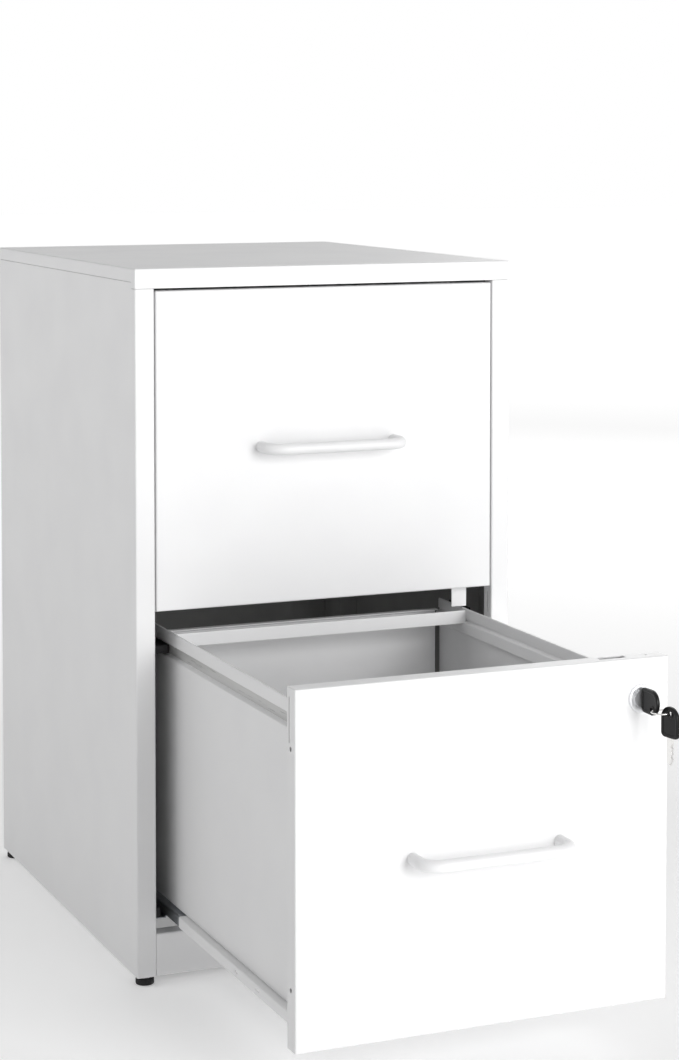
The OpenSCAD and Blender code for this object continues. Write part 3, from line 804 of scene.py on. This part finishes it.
def lathe(name, centre, outline, points=72, smooth_angle=35):
    """Revolves a closed (radius, y) outline about an axis along Y through the centre."""
    turn = np.linspace(0, 2 * np.pi, points, endpoint=False)
    r, y = np.array(outline, float).T
    rings = np.stack([centre.x + r[None] * np.cos(turn)[:, None],
                      centre.y + y[None] + 0 * turn[:, None],
                      centre.z + r[None] * np.sin(turn)[:, None]], -1)
    return from_rings(name, rings, smooth_angle, closed=True)


plug_low, plug_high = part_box("lock_plug")
plug_r = (plug_high.x - plug_low.x) / 2 + 0.05 * MM
collar_r = (lock_high.x - lock_low.x) / 2
face = lock_low.y
axis_at = Vector((lock_centre.x, 0, lock_centre.z))
front_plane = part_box("lower_front_pan")[0].y
barrel_r = 8.5 * MM
collar = lathe("lock_collar", axis_at, [
    (plug_r, lock_high.y), (plug_r, face + 0.25 * MM), (plug_r + 0.25 * MM, face),
    (collar_r - 1.4 * MM, face), (collar_r - 0.75 * MM, face + 0.1 * MM),
    (collar_r - 0.25 * MM, face + 0.4 * MM), (collar_r - 0.05 * MM, face + 0.85 * MM),
    (collar_r, face + 1.3 * MM), (collar_r, front_plane), (barrel_r, front_plane),
    (barrel_r, lock_high.y),
])
finish_piece(collar, satin_chrome, "lower_drawer", "lock_housing", 0)
dress("lock_plug", satin_chrome, 0.15)
dress("lock_cam", bright_zinc, 0.2)
dress("lock_nut", bright_zinc, 0.3)


# ---------------------------------------------------------------- keys
# Nickel-plated blades moulded into black grips with a raised rim round a sunk panel. A wire
# ring joins the two.

GRIP = (25 * MM, 20 * MM, 3.2 * MM)
GRIP_CORNER = 4 * MM
RING_HOLE = 2.6 * MM


def grip_outline(inset, steps=20):
    """Square end at zero, round end at the grip's length, all drawn in by inset."""
    length, height, _ = GRIP
    r, end = GRIP_CORNER - inset, height / 2 - inset
    r = max(r, 0.3 * MM)
    round_x = length - height / 2
    turn = np.linspace(-np.pi / 2, np.pi / 2, steps)
    tip = np.stack([round_x + end * np.cos(turn), end * np.sin(turn)], -1)
    turn = np.linspace(np.pi / 2, np.pi, 6)
    x = inset + r
    top = np.stack([x + r * np.cos(turn), end - r + r * np.sin(turn)], -1)
    return np.concatenate([tip, top, top[::-1] * (1, -1)])


def grip(name, hole, place):
    """The grip drawn flat and centred on its thickness, bored for the ring, then put in place."""
    half = GRIP[2] / 2
    sunk = half - 0.55 * MM
    section = [(3.6 * MM, sunk), (2.9 * MM, sunk), (2.5 * MM, half - 0.1 * MM), (2.2 * MM, half),
               (0.8 * MM, half), (0.3 * MM, half - 0.15 * MM), (0.05 * MM, half - 0.5 * MM),
               (0, half - 0.9 * MM)]
    section += [(inset, -level) for inset, level in section[::-1]]
    rings = [np.insert(grip_outline(inset), 2, level, axis=1) for inset, level in section]
    made = from_rings(name, rings, 30)
    boss = extruded("boss", circle(hole, RING_HOLE + 1.3 * MM, 32), 2, -half + 0.05 * MM, half - 0.05 * MM)
    union = made.modifiers.new("boss", "BOOLEAN")
    union.operation = "UNION"
    union.solver = "EXACT"
    union.object = boss
    cut(made, [extruded("hole", circle(hole, RING_HOLE, 32), 2, -GRIP[2], GRIP[2])], 30)
    bpy.data.objects.remove(boss)
    made.data.transform(place)
    return made


def frame_of(x_axis, y_axis, origin):
    """The matrix whose first two columns are the given axes."""
    x_axis, y_axis = Vector(x_axis).normalized(), Vector(y_axis).normalized()
    turned_axes = Matrix((x_axis, y_axis, x_axis.cross(y_axis))).transposed().to_4x4()
    return Matrix.Translation(origin) @ turned_axes


low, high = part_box("key_grip")
ring_low, ring_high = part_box("key_ring")
ring_centre = (ring_low + ring_high) / 2
hole_back = 16.6 * MM
hole_drop = 6 * MM
place = frame_of((0, -1, 0), (0, 0, 1), ((low.x + high.x) / 2, high.y, (low.z + high.z) / 2))
key_grip = grip("key_grip_moulding", (hole_back, -hole_drop), place)
finish_piece(key_grip, grip_abs, "key", "key_grip", 0)

low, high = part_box("spare_key_grip")
SPARE_TURN = np.radians(10)
level_way = (-np.sin(SPARE_TURN), np.cos(SPARE_TURN), 0)
foot = Vector(((low.x + high.x) / 2, (low.y + high.y) / 2, low.z))
place = frame_of((0, 0, 1), level_way, foot)
spare_grip = grip("spare_key_grip_moulding", (GRIP[0] - 5.4 * MM, 0), place)
finish_piece(spare_grip, grip_abs, "spare_key", "spare_key_grip", 0)
dress("key_blade", nickel_plate, 0.1)
dress("spare_key_blade", nickel_plate, 0.15)

wire = (ring_high.z - ring_low.z) / 2
mean = (ring_high.x - ring_low.x) / 2 - wire
turn = np.linspace(0, 2 * np.pi, 72, endpoint=False)[:, None]
around = np.linspace(0, 2 * np.pi, 14, endpoint=False)[None]
ring_points = np.stack([ring_centre.x + (mean + wire * np.cos(around)) * np.cos(turn),
                        ring_centre.y + (mean + wire * np.cos(around)) * np.sin(turn),
                        ring_centre.z + wire * np.sin(around) + 0 * turn], -1)
key_ring = from_rings("key_ring_wire", ring_points, 60, closed=True)
finish_piece(key_ring, nickel_plate, "ring", "key_ring", 0)


# ---------------------------------------------------------------- studio floor
# Matte white board, wide enough to run out of sight. It glows a little, more with distance, so
# it meets the white room without an edge.

board, tree, shader = new_material("matte_white_board", Base_Color=linear("#F7F7F7"), Roughness=0.9,
                                   Emission_Color=(1, 1, 1, 1))
place = add(tree, "ShaderNodeTexCoord").outputs["Object"]
away = add(tree, "ShaderNodeVectorMath", {0: place}, operation="LENGTH")
glow = add(tree, "ShaderNodeMapRange", {"Value": away.outputs["Value"], "From Min": 0.5, "From Max": 5.0,
                                        "To Min": 0.24, "To Max": 0.72})
tree.links.new(glow.outputs["Result"], shader.inputs["Emission Strength"])
half = 20.0
board_t = 0.01
corners = [(-half, -half), (half, -half), (half, half), (-half, half)]
floor = new_object("floor", [(x, y, z) for z in (-board_t, 0) for x, y in corners],
                   [(0, 1, 2, 3), (4, 5, 6, 7), (0, 1, 5, 4), (1, 2, 6, 5), (2, 3, 7, 6), (3, 0, 4, 7)])
floor.data.materials.append(board)
